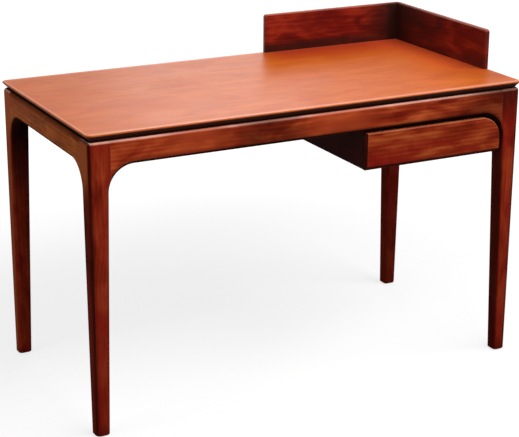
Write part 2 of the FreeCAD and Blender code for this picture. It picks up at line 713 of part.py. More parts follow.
def drawer():
    board, housing, groove = "box_board_thickness", "box_housing", "box_bottom_groove"
    inside = f"({BOX_LEFT} + {board})"
    left, wide = f"({inside} - {housing})", f"({BOX_INNER} + 2 * {housing})"
    rear = f"({BOX_FRONT} + {BOX_DEPTH} - {board})"
    inner_front = box("inner_front_board", (left, BOX_FRONT, BOX_BASE), (wide, board, BOX_HEIGHT))
    back = box("drawer_back_board", (left, rear, BOX_BASE), (wide, board, BOX_HEIGHT))
    bottom_y = f"({BOX_FRONT} + {board} - {groove})"
    bottom_spans = (f"{BOX_INNER} + 2 * {groove}", f"{rear} + {groove} - {bottom_y}", "box_bottom_thickness")
    bottom_corner = (f"{inside} - {groove}", bottom_y, f"{BOX_BASE} + box_bottom_rise")
    bottom = box("bottom_board", bottom_corner, bottom_spans)
    fixings, bores = front_screws(inside)
    front_bores = union("front_bores", list(bores))
    keep(bottom, "drawer_bottom")
    keep(group("front_screw_set", list(fixings)), "drawer_front_screws")
    keep(cut("drawer_face", drawer_front(), front_bores), "drawer_front")
    inner_cuts = union("inner_front_cuts", [bottom, front_bores])
    keep(cut("inner_front", inner_front, inner_cuts), "drawer_inner_front")
    keep(cut("drawer_tail", back, bottom), "drawer_back")
    core = union("drawer_core", [inner_front, back, bottom])
    for side, x in (("left", BOX_LEFT), ("right", f"({BOX_LEFT} + {BOX_WIDTH} - {board})")):
        stock = box(f"drawer_{side}_board", (x, BOX_FRONT, BOX_BASE), (board, BOX_DEPTH, BOX_HEIGHT))
        keep(cut(f"drawer_{side}", stock, core), f"drawer_{side}_side")


def bumpers():
    """Soft dots behind the drawer front, one for each cheek."""
    dots = []
    length = "drawer_stop_gap - slide_clearance"
    y = f"{BOX_FRONT} + {length}"
    z = f"{DRAWER_BOTTOM} + bumper_rise"
    for side, cheek_x in (("left", DRAWER_LEFT), ("right", CASE_RIGHT)):
        foot = (f"{cheek_x} + cheek_thickness / 2", y, z)
        dots.append(rod(f"bumper_{side}", foot, "bumper_diameter / 2", length, RIGHT, 90))
    keep(group("bumper_set", dots), "drawer_bumpers")


drawer()
bumpers()


# Telescopic slides: five nested channels a side, each a little clear of the next
def channel(name, near, far, half_height, web, flange, length, lead, opens_in):
    """A channel between two depths from the cheek. It opens to the drawer, or back to the cheek."""
    outer_spans = (f"{far} - {near}", length, f"2 * {half_height}")
    outer = box(name + "_outer", (near, lead, f"-{half_height}"), outer_spans)
    bare = f"({half_height} - {flange})"
    hollow_near = f"{near} + {web}" if opens_in else f"{near} - overrun"
    hollow_spans = (f"{far} - {near} - {web} + overrun", f"{length} + 2 * overrun", f"2 * {bare}")
    hollow = box(name + "_hollow", (hollow_near, f"{lead} - overrun", f"-{bare}"), hollow_spans)
    return cut(name, outer, hollow)


def slide_members():
    """Name, two depths, half height, web, flange, length, lead and opening side of each channel."""
    steel, clear, ball, cage = "slide_steel", "slide_clearance", "slide_ball_height", "cage_steel"
    outer_half = "(slide_height / 2)"
    outer_cage_half = f"({outer_half} - {steel} - {clear})"
    middle_half = f"({outer_cage_half} - {ball} - {clear})"
    inner_cage_half = f"({middle_half} - {steel} - {clear})"
    inner_half = f"({inner_cage_half} - {ball} - {clear})"
    outer_cage_near = f"({steel} + {clear})"
    middle_near = f"({outer_cage_near} + {cage} + {clear})"
    inner_cage_near = f"({middle_near} + {steel} + {clear})"
    inner_near = f"({inner_cage_near} + {cage} + {clear})"
    outer_far = "(slide_thickness - slide_lip)"
    cage_far = "(slide_thickness - cage_lip)"
    middle_far = f"(slide_thickness - {steel} - {clear})"
    long, short = SLIDE_LENGTH, "cage_length"
    cage_lead = f"(({long} - {short}) / 2)"
    return [
        ("outer", "0", outer_far, outer_half, steel, steel, long, "0", True),
        ("outer_cage", outer_cage_near, cage_far, outer_cage_half, cage, ball, short, cage_lead, True),
        ("middle", middle_near, middle_far, middle_half, steel, steel, long, "0", True),
        ("inner_cage", inner_cage_near, cage_far, inner_cage_half, cage, ball, short, cage_lead, True),
        ("inner", inner_near, "slide_thickness", inner_half, steel, steel, long, "0", False),
    ]


def slides():
    far_end = f"{SLIDE_FRONT} + {SLIDE_LENGTH}"
    seats = [("left", CASE_LEFT, SLIDE_FRONT, 0), ("right", CASE_RIGHT, far_end, 180)]
    for side, x, y, turn in seats:
        for member, *shape in slide_members():
            made = channel(f"{side}_{member}_channel", *shape)
            keep(place(made, x, y, SLIDE_AXIS, turn=turn), f"slide_{side}_{member}")


slides()
doc.recompute()

# Every object must have worked out before anything is written.
for thing in doc.Objects:
    if "Invalid" in thing.State or "Error" in thing.State:
        raise ValueError(f"{thing.Name} failed: {thing.State}")
for label, thing in subparts.items():
    if thing.Shape.isNull() or not thing.Shape.isValid() or not thing.Shape.Solids:
        raise ValueError(f"{label} has no valid shape")
os.makedirs("parts", exist_ok=True)
for label, thing in subparts.items():
    thing.Shape.exportStep(f"parts/{label}.step")
    print(f"{label}: {len(thing.Shape.Solids)} solids, {thing.Shape.Volume:.0f} cubic mm")
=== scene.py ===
# %% [markdown]
# # A study table, dressed in lacquer
# The table comes from its construction model as a fixed frame: each board, screw and slide already has its shape
# and its place, in metres. This lesson adds what that model lacks: wood, lacquer, steel, light and a camera.
# Loading comes first.

# %% Load the frame
import math

import bmesh
import bpy
from mathutils import Matrix, Vector


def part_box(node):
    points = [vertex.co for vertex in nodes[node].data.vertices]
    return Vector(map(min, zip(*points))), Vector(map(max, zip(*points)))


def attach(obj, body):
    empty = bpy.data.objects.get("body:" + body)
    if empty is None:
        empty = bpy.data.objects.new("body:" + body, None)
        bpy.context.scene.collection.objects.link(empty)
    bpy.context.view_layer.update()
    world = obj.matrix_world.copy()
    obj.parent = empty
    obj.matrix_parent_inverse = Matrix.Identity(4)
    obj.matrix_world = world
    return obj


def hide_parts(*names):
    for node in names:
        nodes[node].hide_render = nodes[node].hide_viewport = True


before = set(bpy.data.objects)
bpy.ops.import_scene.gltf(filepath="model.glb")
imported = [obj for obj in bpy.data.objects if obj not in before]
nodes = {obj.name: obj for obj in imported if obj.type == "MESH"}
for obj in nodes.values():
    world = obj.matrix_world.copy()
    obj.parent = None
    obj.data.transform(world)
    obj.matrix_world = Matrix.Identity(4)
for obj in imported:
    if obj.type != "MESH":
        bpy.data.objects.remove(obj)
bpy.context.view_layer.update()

scene = bpy.context.scene

# %% [markdown]
# ## The camera
# A product photograph like this one is taken from a few metres away with a long lens, so that upright legs stay
# nearly upright. The stand point, the two angles and the slight roll come from lining up the corners of the table
# with the picture. A camera looks along its own -Z axis, so its matrix has the right-hand direction, the upward
# direction and the backward direction as its columns.

# %% Camera
PICTURE_WIDTH = 519
FOCAL_PIXELS = 1532.11
STAND_POINT = Vector((-1.7903, -3.4011, 1.6726))
AZIMUTH = math.radians(27.6805)
ELEVATION = math.radians(18.6459)
ROLL = math.radians(0.328)

forward = Vector((math.sin(AZIMUTH) * math.cos(ELEVATION), math.cos(AZIMUTH) * math.cos(ELEVATION),
                  -math.sin(ELEVATION)))
level_right = forward.cross(Vector((0, 0, 1))).normalized()
level_up = level_right.cross(forward)
right = level_right * math.cos(ROLL) + level_up * math.sin(ROLL)
up = level_up * math.cos(ROLL) - level_right * math.sin(ROLL)

lens = bpy.data.cameras.new("picture_lens")
lens.lens = lens.sensor_width * FOCAL_PIXELS / PICTURE_WIDTH
camera = bpy.data.objects.new("picture_camera", lens)
camera.matrix_world = Matrix.Translation(STAND_POINT) @ Matrix((right, up, -forward)).transposed().to_4x4()
scene.collection.objects.link(camera)
scene.camera = camera
print("lens:", round(lens.lens, 1), "mm")

# %% [markdown]
# ## Node maths that reads like maths
# A material is a small network of nodes, and wiring it by hand hides the idea behind it. The class below wraps one
# socket, so that `1 - mask * 0.5` writes the Math nodes itself. Every other kind of node comes from one method,
# which sets the node's own settings first and then its sockets, with either a value or another wire.

# %% Wires
class Wire:
    """One output socket of a material. Operators on it add Math nodes to the same material."""

    def __init__(self, socket):
        self.socket = socket
        self.tree = socket.id_data

    def add(self, kind, settings=None, sockets=None, out=0):
        """Add any kind of node: its settings, then the values or links of its sockets."""
        node = self.tree.nodes.new("ShaderNode" + kind)
        for name, value in (settings or {}).items():
            if name == "stops":
                fill_ramp(node.color_ramp, value)
            else:
                setattr(node, name, value)
        for name, value in (sockets or {}).items():
            if isinstance(value, Wire):
                self.tree.links.new(value.socket, node.inputs[name])
            else:
                node.inputs[name].default_value = value
        return Wire(node.outputs[out])

    def maths(self, operation, first, second=0.0):
        """Add one Math node."""
        return self.add("Math", {"operation": operation}, {0: first, 1: second})

    def __add__(self, other):
        return self.maths("ADD", self, other)

    def __sub__(self, other):
        return self.maths("SUBTRACT", self, other)

    def __rsub__(self, other):
        return self.maths("SUBTRACT", other, self)

    def __neg__(self):
        return self.maths("SUBTRACT", 0.0, self)

    def __mul__(self, other):
        return self.maths("MULTIPLY", self, other)

    def __pow__(self, other):
        return self.maths("POWER", self, other)

    def __abs__(self):
        return self.maths("ABSOLUTE", self)

    __radd__ = __add__
    __rmul__ = __mul__

    def smooth(self, low, high):
        """0 below low, 1 above high, with a soft step between."""
        return self.add("MapRange", {"interpolation_type": "SMOOTHSTEP"},
                        {"Value": self, "From Min": low, "From Max": high})

    def over(self, below, above):
        """A colour: below where this mask is 0, above where it is 1."""
        return self.add("Mix", {"data_type": "RGBA"}, {0: self, 6: below, 7: above}, out=2)


def fill_ramp(ramp, stops):
    """Give a colour ramp its stops, from (place, colour) pairs."""
    while len(ramp.elements) < len(stops):
        ramp.elements.new(1.0)
    for element, (place, colour) in zip(ramp.elements, stops):
        element.position = place
        element.color = colour


def tint(red, green, blue):
    """A colour written in the 0 to 255 steps of a screen, as the linear colour that shaders use."""
    steps = [value / 255 for value in (red, green, blue)]
    return (*[((s + 0.055) / 1.055) ** 2.4 if s > 0.04045 else s / 12.92 for s in steps], 1.0)


WHITE = tint(255, 255, 255)
print("white is", WHITE)

# %% [markdown]
# ## The floor
# In the photograph the table stands on nothing that shows, as in a catalogue. Here a wide pale disc carries it, so
# that its legs cast a soft shadow. To the camera, and in reflections, the disc also glows: a little less near the
# table, where the shadow should stay visible, and fully white further out. To every other ray it is only pale, so
# that the glow doesn't light the table from below.

# %% Floor
FLOOR_RADIUS = 30.0
FLOOR_STEPS = 64
FLOOR_DROP = 0.0003
FLOOR_PALE = (0.30, 0.30, 0.30, 1.0)
NEAR_GLOW = (0.76, 0.76, 0.76, 1.0)
SHADOW_REACH = (0.9, 2.6)


def seen_directly(wire):
    """A mask that is 1 for rays from the camera and for mirror and glass rays."""
    light_path = wire.add("LightPath").socket.node
    camera_ray, glossy_ray, clear_ray = [
        Wire(light_path.outputs[name]) for name in ("Is Camera Ray", "Is Glossy Ray", "Is Transmission Ray")]
    return wire.maths("MAXIMUM", wire.maths("MAXIMUM", camera_ray, glossy_ray), clear_ray)


def floor_finish():
    """Pale to light, glowing to the eye."""
    material = bpy.data.materials.new("pale_floor")
    material.use_nodes = True
    tree = material.node_tree
    tree.nodes.clear()
    output = tree.nodes.new("ShaderNodeOutputMaterial")
    start = Wire(tree.nodes.new("ShaderNodeTexCoord").outputs["Object"])
    pale = start.add("BsdfDiffuse", None, {"Color": FLOOR_PALE})
    away = start.add("VectorMath", {"operation": "LENGTH"}, {0: start}, out="Value").smooth(*SHADOW_REACH)
    glow = start.add("Emission", None, {"Color": away.over(NEAR_GLOW, WHITE), "Strength": 1.0})
    white = start.add("AddShader", None, {0: pale, 1: glow})
    mixed = start.add("MixShader", None, {0: seen_directly(start), 1: pale, 2: white})
    tree.links.new(mixed.socket, output.inputs["Surface"])
    return material


def mesh_piece(name, shape, material, smooth_angle=0):
    """Turn a bmesh into an object of the scene, smooth except at edges sharper than an angle in degrees."""
    mesh = bpy.data.meshes.new(name)
    shape.to_mesh(mesh)
    shape.free()
    if smooth_angle:
        mesh.shade_smooth()
        mesh.set_sharp_from_angle(angle=math.radians(smooth_angle))
    mesh.materials.append(material)
    piece = bpy.data.objects.new(name, mesh)
    scene.collection.objects.link(piece)
    return piece


disc = bmesh.new()
bmesh.ops.create_circle(disc, cap_ends=True, radius=FLOOR_RADIUS, segments=FLOOR_STEPS)
bmesh.ops.translate(disc, verts=disc.verts, vec=(0, 0, -FLOOR_DROP))
floor = mesh_piece("studio_floor", disc, floor_finish())
print("floor radius:", FLOOR_RADIUS)

# %% [markdown]
# ## Sky and lamps
# A photographer lights such a table with large soft lamps in a white room. The room is the sky here: white where
# the camera or a reflection meets it, and dim as a light. A long strip above the front lights the top and the front,
# a softbox fills the left side, and a weak window behind gives the rear edges a line of light. The strengths are
# chosen so that a colour looks about as it is written.

# %% Sky and lamps
SKY_FILL = 0.26
LAMPS = {
    # name: (place, size across, size along, watts)
    "overhead_strip": ((0.9, -1.5, 2.7), 3.2, 0.6, 72.0),
    "left_softbox": ((-3.0, -0.5, 0.85), 1.4, 1.0, 18.0),
    "rear_window": ((1.15, 2.6, 1.9), 1.0, 0.9, 9.0),
}
LAMP_AIM = Vector((0.0, 0.0, 0.66))

sky = bpy.data.worlds.new("studio_sky")
sky.use_nodes = True
sky.node_tree.nodes.clear()
sky_output = sky.node_tree.nodes.new("ShaderNodeOutputWorld")
sky_start = Wire(sky.node_tree.nodes.new("ShaderNodeLightPath").outputs["Is Camera Ray"])
dim = sky_start.add("Background", None, {"Color": WHITE, "Strength": SKY_FILL})
bright = sky_start.add("Background", None, {"Color": WHITE, "Strength": 1.0})
both = sky_start.add("MixShader", None, {0: seen_directly(sky_start), 1: dim, 2: bright})
sky.node_tree.links.new(both.socket, sky_output.inputs["Surface"])
scene.world = sky

for name, (place, across, along, watts) in LAMPS.items():
    lamp = bpy.data.lights.new(name, "AREA")
    lamp.shape = "RECTANGLE"
    lamp.size, lamp.size_y, lamp.energy = across, along, watts
    stand = bpy.data.objects.new(name, lamp)
    stand.matrix_world = Matrix.Translation(place) @ (
        LAMP_AIM - Vector(place)).to_track_quat("-Z", "Y").to_matrix().to_4x4()
    scene.collection.objects.link(stand)
scene.view_settings.view_transform = "Standard"
print("lamps:", sorted(LAMPS))

# %% [markdown]
# ## Wood
# Wood is a solid: its growth rings run through the whole board, and each face is a cut through them. So the pattern
# is worked out in space, not drawn on a face, and the ends of a board show end grain by themselves. Every board
# gets its own direction of grain and its own place in the tree. Broad ribbons, slow patches, rings and fine streaks
# mix the tints, and pores darken them. The stretch of each noise, in lumps to the metre, sets its scale: long along
# the grain and short across it.

# %% Grain
GRAIN_ORDER = {"X": (0, 1, 2), "Y": (1, 0, 2), "Z": (2, 0, 1)}
TREE_STEP = (1.37, 0.731, 0.519)
# lumps to the metre along, across and through the board
DRIFT, STREAK, RIBBON = (2.4, 11.0, 11.0), (4.0, 210.0, 210.0), (4.5, 24.0, 24.0)
BLOTCH, PATCH, PORE = (11.0, 25.0, 25.0), (5.0, 16.0, 16.0), (70.0, 1500.0, 1500.0)
# where the middle of the tree lies: its distance, how far it differs from board to board, and how far it sways
PITH_ASIDE, PITH_DEEP = (0.11, 0.03, 0.06), (0.17, 0.05, 0.04)
RING_SHARE, RIBBON_SHARE = 0.06, 0.35


def noise(space, stretch, detail=2.0, roughness=0.5, distortion=0.0):
    """Soft noise, with so many lumps to the metre along, across and through the board."""
    spread = space.add("VectorMath", {"operation": "MULTIPLY"}, {0: space, 1: stretch})
    return space.add("TexNoise", None, {"Vector": spread, "Scale": 1.0, "Detail": detail,
                                        "Roughness": roughness, "Distortion": distortion})


def parts_of(vector):
    """The three parts of a vector."""
    return [Wire(socket) for socket in vector.add("SeparateXYZ", None, {0: vector}).socket.node.outputs]


def board_space(start, grain, seed):
    """Coordinates of a board: along the grain, across and through, shifted to its own place in the tree."""
    parts = parts_of(start)
    along, across, through = [parts[axis] for axis in GRAIN_ORDER[grain]]
    place = start.add("CombineXYZ", None, {0: along, 1: across, 2: through})
    shift = tuple(seed * step for step in TREE_STEP)
    return start.add("VectorMath", {"operation": "ADD"}, {0: place, 1: shift}), across, through


def grain_pattern(start, finish, grain, seed):
    """The depth of the stain from 0 to 1, the fine streaks, the slow patches and the pores."""
    space, across, through = board_space(start, grain, seed)
    drift = noise(space, DRIFT) - 0.5
    aside = across + drift * PITH_ASIDE[2] + (PITH_ASIDE[0] + PITH_ASIDE[1] * math.sin(seed))
    deep = through + drift * PITH_DEEP[2] + (PITH_DEEP[0] + PITH_DEEP[1] * math.cos(seed * 2))
    from_pith = (aside * aside + deep * deep) ** 0.5
    ring = start.maths("SINE", from_pith * (math.tau / finish["ring"])) * 0.5 + 0.5
    streak = noise(space, STREAK, detail=3.0, roughness=0.6)
    ribbon = noise(space, RIBBON, detail=3.0, distortion=1.0)
    blotch = noise(space, BLOTCH, distortion=0.8)
    patch = noise(space, PATCH, distortion=0.6)
    pore = noise(space, PORE, detail=1.0)
    broad = ribbon * RIBBON_SHARE + blotch * (1 - RIBBON_SHARE)
    mixed = ring * RING_SHARE + streak * finish["fine"] + broad * (1 - RING_SHARE - finish["fine"])
    return mixed.smooth(0.24, 0.76), streak, patch.smooth(0.44, 0.68), pore.smooth(0.60, 0.74)


print("grain runs along:", sorted(GRAIN_ORDER))

# %% [markdown]
# ## Stain and painted light
# A finisher doesn't leave a table in one shade: a thin red or brown coat warms single places, and edges that stand
# out are rubbed back, so they are paler. Most layers here are painted light, though. The dark toner is mostly painted
# shade, on faces that look down or under the table and in corners, grooves and arches, and in a few places a real
# dark stain. The red and pale layers on the top are a painted reflection and a painted highlight. Each layer is a
# pair: a mask, which says where and how strong, and a colour. A mask comes from the direction that a face looks in or
# from the place on the board, and a soft step gives it a fading edge. Sharp edges have no face of their own: there
# the rounded normal of a Bevel node is compared with the true one, and they differ only near an edge.

# %% Stain and painted light
# near-black colour: mostly painted shade, in a few places a real dark stain
TONER_AND_SHADE = tint(32, 11, 9)
RUB_RADIUS = 0.0030


def facing(start):
    """The three parts of the direction that a face looks in."""
    return parts_of(start.add("NewGeometry", None, None, out="Normal"))


def sharp_edges(start):
    """1 on sharp edges, 0 on flats."""
    rounded = start.add("Bevel", {"samples": 4}, {"Radius": RUB_RADIUS})
    true = start.add("NewGeometry", None, None, out="Normal")
    match = start.add("VectorMath", {"operation": "DOT_PRODUCT"}, {0: rounded, 1: true}, out="Value")
    return (1 - match).smooth(0.02, 0.28)


def strongest(*masks):
    """Where masks overlap, the strongest counts."""
    found = masks[0]
    for mask in masks[1:]:
        found = found.maths("MAXIMUM", found, mask)
    return found


def stretch_of(along, low, high, fade=0.09):
    """1 between two places along a board, with soft ends."""
    return along.smooth(low - fade, low) * (1 - along.smooth(high, high + fade))


print("edges are rubbed over", RUB_RADIUS * 1000, "mm")

# %% [markdown]
# ## Painted shade and stain on the rails
# The rails under the top are rounded below and come down to the legs in quarter-round arches. These edges lie in
# shade, and painted shade deepens it. On the front rail it fades upwards over about two centimetres. The line under
# the top gets painted shade too. The distance from the rounded edge is the distance from the centre of an arch, less
# its radius, and between the arches it is the height alone, so one formula serves the whole edge. The figure of the
# front rail changes along it: two lengths glow, one between them is dark, and the end over the drawer is darker too,
# with painted shade just under the top.

# %% Rail painted shade and stain
EMBER = tint(188, 76, 40)
GROOVE_HEIGHTS = (0.718, 0.730)
ARCH_CENTRES = (0.483, 0.183)  # along x on the long rails, along y on the short ones
ARCH_SPRING, ARCH_RADIUS = 0.606, 0.064
UNDER_FADE = (0.002, 0.020)
GLOWING_LENGTHS = ((-0.35, -0.30), (0.03, 0.10))
DARK_LENGTH = (-0.16, -0.11)


def rail_painted_shade(axis, groove_share=0.0, under_share=0.0):
    """Painted shade on the lower edge and the arches of a rail along an axis, above them, and in the line under the
    top.
    """
    def layers(start):
        look, place = facing(start), parts_of(start)
        # painted shade on faces that look down, on the arches, on the groove's floor and in the line under the top
        below, crown = (-look[2]).smooth(0.02, 0.40), look[2].smooth(0.80, 0.97)
        arch = abs(look[axis]).smooth(0.10, 0.45)
        groove = place[2].smooth(*GROOVE_HEIGHTS) * groove_share
        past = start.maths("MAXIMUM", abs(place[axis]) - ARCH_CENTRES[axis], 0.0)
        rise = place[2] - ARCH_SPRING
        clear = (past * past + rise * rise) ** 0.5 - ARCH_RADIUS
        under = (1 - clear.smooth(*UNDER_FADE)) * under_share
        return [(strongest(below, arch, crown, groove, under), TONER_AND_SHADE)]
    return layers


def front_rail_stain_and_shade(start):
    """Painted shade as on the other rails, two glowing lengths with a dark one between, and a darker right end."""
    x, _, z = parts_of(start)
    glowing = strongest(*[stretch_of(x, *length) for length in GLOWING_LENGTHS]) * 0.6
    dark = stretch_of(x, *DARK_LENGTH) * 0.5
    # darker towards the right end, with painted shade just under the top
    darker_right_end = strongest(x.smooth(0.34, 0.57) * z.smooth(0.68, 0.73) * 0.9, x.smooth(0.28, 0.54) * 0.5)
    return [(glowing, EMBER), (strongest(dark, darker_right_end), TONER_AND_SHADE)] + rail_painted_shade(0, under_share=0.62)(start)


print("glowing lengths of the front rail:", GLOWING_LENGTHS)

# %% [markdown]
# ## Painted light on the top
# The top is the brightest board. Where the upstand stands on it, its red shows in the gloss of the top, and a painted
# reflection, red along the two feet of the upstand, gives that look from every side. The upper rim gets a pale
# painted highlight all round. The square edge below the rim gets half painted shade, and the bevel under it full
# painted shade, so that the top seems to float over a dark line. Towards the right end the top gets a little painted
# shade as well.

# %% Painted light on the top
# painted reflections of the upstand's red, and a painted highlight on the rim
PAINTED_RED_REFLECTION = tint(180, 44, 30)
PAINTED_BRIGHT_REFLECTION = tint(234, 88, 46)
PAINTED_RIM_HIGHLIGHT = tint(250, 178, 152)
BACK_FADE, BACK_START = (0.10, 0.275), (0.09, 0.21)  # in y towards the back board, in x from its left end
SIDE_FADE, SIDE_START = (0.44, 0.580), (-0.22, -0.06)  # in x towards the side board, in y from its front end
RIM_X, RIM_Y = (0.591, 0.598), (0.280, 0.296)


def top_painted_light(start):
    """Painted red reflections at the feet of the upstand, a painted highlight on the rim, and painted shade on the
    edge, the bevel and near the right end.
    """
    x, y, _ = parts_of(start)
    look = facing(start)[2]
    # painted reflection of the upstand along its two feet
    back_reflection = y.smooth(*BACK_FADE) * x.smooth(*BACK_START)
    side_reflection = x.smooth(*SIDE_FADE) * y.smooth(*SIDE_START)
    # painted highlight on the upper rim
    rim = strongest(abs(x).smooth(*RIM_X), abs(y).smooth(*RIM_Y)) * look.smooth(0.80, 0.95)
    # painted shade on the square edge, the bevel and towards the right end
    edge = (1 - look.smooth(0.30, 0.80)) * 0.6
    flat_below = (-look).smooth(0.90, 0.99) * 0.4
    bevel = (-look).smooth(0.10, 0.60) * (1 - flat_below)
    darker_right_end = x.smooth(0.36, 0.57) * y.smooth(-0.42, -0.16) * (1 - y.smooth(-0.16, -0.04)) * 0.3
    return [(back_reflection * 0.8, PAINTED_RED_REFLECTION), (side_reflection * 0.75, PAINTED_BRIGHT_REFLECTION), (rim * 0.7, PAINTED_RIM_HIGHLIGHT),
            (strongest(edge, bevel, darker_right_end), TONER_AND_SHADE)]


print("red along the back from x:", BACK_START[0], "along the side from y:", SIDE_START[0])

# %% [markdown]
# ## Stain and painted shade on the legs
# A leg gets painted shade where its faces look under the table, most of all under the arches, and its outer face and
# long edges get painted shade as well, so that the tapered front face stands out. The heads of the left legs keep the
# brown of the rail between them, because rail and head were sanded and stained as one surface. The heads of the right
# legs get painted shade. The lower part turns to a cherry red, and the foot gets painted shade where it meets the
# floor. The four legs are cut alike, so one function serves them all, and two small tables say what differs between
# left and right, front and rear.

# %% Leg stain and painted shade
BROWN = tint(156, 76, 28)
CHERRY = tint(138, 26, 19)
LEFT, RIGHT, FRONT, REAR = -1, 1, -1, 1
# inner, head, hidden, outer and arris are shares of painted shade
SIDE_SHARES = {
    # joint: how far the head is like the rail, turn: where the outer face begins
    LEFT: {"joint": 0.9, "inner": 0.32, "head": 0.0, "turn": (0.55, 0.92)},
    RIGHT: {"joint": 0.0, "inner": 0.50, "head": 0.76, "turn": (0.0, 0.40)},
}
END_SHARES = {
    # low: cherry red, arch_start: the height where the painted shade under the arches begins
    FRONT: {"arris": 0.85, "outer": 0.70, "hidden": 0.80, "brown": 0.0, "arch_start": 0.45,
            "low": {LEFT: 0.5, RIGHT: 0.25}},
    REAR: {"arris": 0.30, "outer": 0.24, "hidden": 0.58, "brown": 0.55, "arch_start": 0.28,
           "low": {LEFT: 0.12, RIGHT: 0.12}},
}
ARCH_FULL = 0.64
JOINT_HEIGHTS, HEAD_HEIGHTS, LOW_HEIGHTS, FOOT_HEIGHT = (0.57, 0.67), (0.62, 0.72), (0.12, 0.52), 0.055
FAR_EDGE = (0.580, 0.597)
NEAR_BAND, BAND_HEIGHTS = (-0.598, -0.581), (0.52, 0.70)


def near_band(x, height, front):
    """A soft band of painted shade beside the outer edge of the front left leg, weaker at its head."""
    return (1 - x.smooth(*NEAR_BAND)) * (1 - height.smooth(*BAND_HEIGHTS) * 0.7) * 0.7 * front.smooth(0.50, 0.90)


def leg_stain_and_shade(side, end):
    """Cherry red below, the rail's brown at the head, and painted shade on receding faces, long edges, head and foot.
    """
    share = SIDE_SHARES[side] | END_SHARES[end]

    def layers(start):
        look, (x, _, height) = facing(start), parts_of(start)
        outward = look[0] * side
        hidden, inner = (-outward).smooth(0.25, 0.80), (look[1] * -end).smooth(0.25, 0.80)
        joint = height.smooth(*JOINT_HEIGHTS) * share["joint"]
        low = (1 - height.smooth(*LOW_HEIGHTS)) * share["low"][side]
        like_rail = outward.smooth(0.90, 0.98) * (joint * (1 - share["brown"]) + share["brown"])
        # painted shade on receding faces, long edges, head and foot
        painted_shade = [
            hidden * share["hidden"], inner * share["inner"],
            strongest(hidden, inner) * height.smooth(share["arch_start"], ARCH_FULL),
            outward.smooth(*share["turn"]) * (1 - joint) * share["outer"],
            stretch_of(outward, 0.62, 0.88, fade=0.16) * share["arris"],
            x.smooth(*FAR_EDGE) * 0.45,
            (1 - height.smooth(0.0, FOOT_HEIGHT)) * 0.55,
            height.smooth(*HEAD_HEIGHTS) * share["head"], look[2].smooth(0.80, 0.97),
        ]
        if (side, end) == (LEFT, FRONT):
            painted_shade.append(near_band(x, height, look[1] * end))
        return [(low, CHERRY), (like_rail, BROWN), (strongest(*painted_shade), TONER_AND_SHADE)]
    return layers


print("legs differ in:", sorted(SIDE_SHARES[LEFT] | END_SHARES[FRONT]))

# %% [markdown]
# ## Stain and painted shade on the drawer front, the pegs and the upstand
# The drawer front is darker on its sawn left end, where end grain takes more stain and painted shade is added, and
# under its rounded lower edge, which gets painted shade. The pegs of the upstand come out in the bevel under the top,
# so their ends get the same painted shade as the bevel. The two boards of the upstand meet in a corner that little
# light reaches: there painted shade grows towards the corner and along the foot, only on the faces that look into it.

# %% Other stain and painted shade
PEG_HEIGHTS = (0.745, 0.750)
UPSTAND_INNER = (0.586, 0.286)  # the inner face of the side board in x, and of the back board in y
UPSTAND_FOOT = (0.764, 0.784)
CORNER_REACH = (0.07, 0.02)


def drawer_stain_and_shade(start):
    """A darker sawn left end, from stain and painted shade, and painted shade under the rounded lower edge."""
    x, _, z = facing(start)
    return [(strongest((-x).smooth(0.30, 0.80), (-z).smooth(0.10, 0.50)), TONER_AND_SHADE)]


def peg_painted_shade(start):
    """Painted shade on the end of a peg that shows in the bevel under the top."""
    return [(1 - parts_of(start)[2].smooth(*PEG_HEIGHTS), TONER_AND_SHADE)]


def corner_painted_shade(axis, reach, foot_share):
    """Painted shade towards the inner corner of the upstand and along its foot, on the face that looks into it."""
    inner = UPSTAND_INNER[axis]

    def layers(start):
        place = parts_of(start)
        near = place[axis].smooth(inner - reach, inner) * 0.92
        corner = place[axis].smooth(inner - CORNER_REACH[0], inner - CORNER_REACH[1])
        foot = (1 - place[2].smooth(*UPSTAND_FOOT)) * foot_share
        look = (-facing(start)[1 - axis]).smooth(0.3, 0.9)
        return [(strongest(near, corner, foot) * look, TONER_AND_SHADE)]
    return layers


print("corner of the upstand at:", UPSTAND_INNER)

# %% [markdown]
# ## The lacquered board
# The tints come from a ramp over the depth of the grain. Rubbed edges are paler, partly as real wear and partly as a
# painted highlight, faces that look up get a pale painted highlight, and the layers of stain and painted light lie
# over them in their order. The lacquer is the gloss on top: its roughness follows the grain and a few smudges, it is
# duller where the toner and painted shade lie, and its highlights are warm because the lacquer is tinted. A faint
# bump of grain and orange peel keeps it from looking like plastic.

# %% Lacquer
SOFT_RADIUS = 0.0012
TONER_AND_SHADE_DULL = 0.4
RUB_GRAIN, SMUDGE, PEEL = (60.0, 60.0, 60.0), (9.0, 9.0, 9.0), (420.0, 420.0, 420.0)
RELIEF_STRENGTH, RELIEF_DEPTH = 0.22, 0.0002


